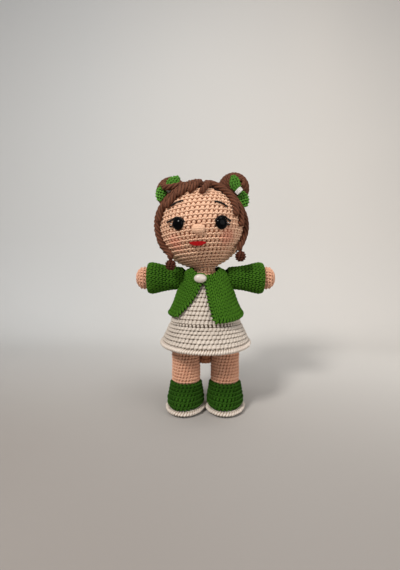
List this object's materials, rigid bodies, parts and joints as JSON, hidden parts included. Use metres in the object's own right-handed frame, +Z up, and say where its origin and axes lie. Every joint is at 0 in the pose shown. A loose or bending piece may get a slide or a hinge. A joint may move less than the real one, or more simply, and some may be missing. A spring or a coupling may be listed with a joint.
{
  "type": "doll",
  "caption": "Crocheted and stuffed standing doll with a large round head, cord hair in two buns, bolero, dress and boots; head, arms and legs turn.",
  "frame": {"origin": "middle of the standing doll's bounding box, on the plane of its soles", "axes": "+Z up along the standing doll; -Y is where the face looks; +X is the doll's own left side"},
  "size_m": [0.137, 0.0896, 0.2349],
  "materials": {
    "skin_yarn": "matte crocheted cotton yarn",
    "white_yarn": "matte crocheted cotton yarn",
    "green_yarn": "matte crocheted cotton yarn",
    "brown_yarn": "matte crocheted cotton yarn",
    "black_thread": "embroidery thread with a slight sheen",
    "red_thread": "satin stitch embroidery thread",
    "filling": "loose white fibre",
    "eye_plastic": "glossy black",
    "washer_plastic": "plain translucent white",
    "pearl_plastic": "pearl lustre"
  },
  "bodies": {
    "root": {"bodice": "white_yarn", "neck": "skin_yarn", "lower_body": "skin_yarn", "torso_stuffing": "filling", "skirt": "white_yarn", "skirt_hem": "white_yarn", "jacket_back": "green_yarn", "jacket_front_left": "green_yarn", "jacket_front_right": "green_yarn", "pearl_button": "pearl_plastic", "button_loop": "green_yarn"},
    "head": {"head_skin": "skin_yarn", "head_stuffing": "filling", "nose": "skin_yarn", "mouth": "red_thread", "eye_left": "eye_plastic", "eye_right": "eye_plastic", "eye_washer_left": "washer_plastic", "eye_washer_right": "washer_plastic", "brow_left": "black_thread", "brow_right": "black_thread", "lashes_left": "black_thread", "lashes_right": "black_thread", "hair_cap": "brown_yarn", "lock_left": "brown_yarn", "lock_right": "brown_yarn", "lock_ball_left": "brown_yarn", "lock_ball_right": "brown_yarn", "strand_left_1": "brown_yarn", "strand_left_2": "brown_yarn", "strand_right_1": "brown_yarn", "strand_right_2": "brown_yarn", "strand_right_3": "brown_yarn", "fringe_middle_left": "brown_yarn", "fringe_middle_right": "brown_yarn", "bun_left": "brown_yarn", "bun_right": "brown_yarn", "bow_knot_left": "white_yarn", "bow_knot_right": "white_yarn", "bow_leaf_left_1": "green_yarn", "bow_leaf_left_2": "green_yarn", "bow_leaf_right_1": "green_yarn", "bow_leaf_right_2": "green_yarn"},
    "arm_left": {"arm_left": "skin_yarn", "arm_stuffing_left": "filling", "sleeve_left": "green_yarn"},
    "arm_right": {"arm_right": "skin_yarn", "arm_stuffing_right": "filling", "sleeve_right": "green_yarn"},
    "leg_left": {"leg_left": "skin_yarn", "leg_stuffing_left": "filling", "boot_left": "green_yarn", "sole_rim_left": "white_yarn", "sole_left": "green_yarn"},
    "leg_right": {"leg_right": "skin_yarn", "leg_stuffing_right": "filling", "boot_right": "green_yarn", "sole_rim_right": "white_yarn", "sole_right": "green_yarn"}
  },
  "joints": [
    {"name": "head_turn", "type": "hinge", "parent": "root", "child": "head", "pos_m": [-0.0015, 0, 0.1375], "axis": [-0.0785, 0, 0.9969], "range_deg": [-12, 25]},
    {"name": "shoulder_left", "type": "hinge", "parent": "root", "child": "arm_left", "pos_m": [0.027, 0, 0.128], "axis": [0, -1, 0], "range_deg": [-30, 15]},
    {"name": "shoulder_right", "type": "hinge", "parent": "root", "child": "arm_right", "pos_m": [-0.027, 0, 0.128], "axis": [0, 1, 0], "range_deg": [-30, 15]},
    {"name": "hip_left", "type": "hinge", "parent": "root", "child": "leg_left", "pos_m": [0.0193, 0, 0.058], "axis": [-1, 0, 0], "range_deg": [-20, 35]},
    {"name": "hip_right", "type": "hinge", "parent": "root", "child": "leg_right", "pos_m": [-0.0193, 0, 0.058], "axis": [-1, 0, 0], "range_deg": [-20, 35]}
  ]
}
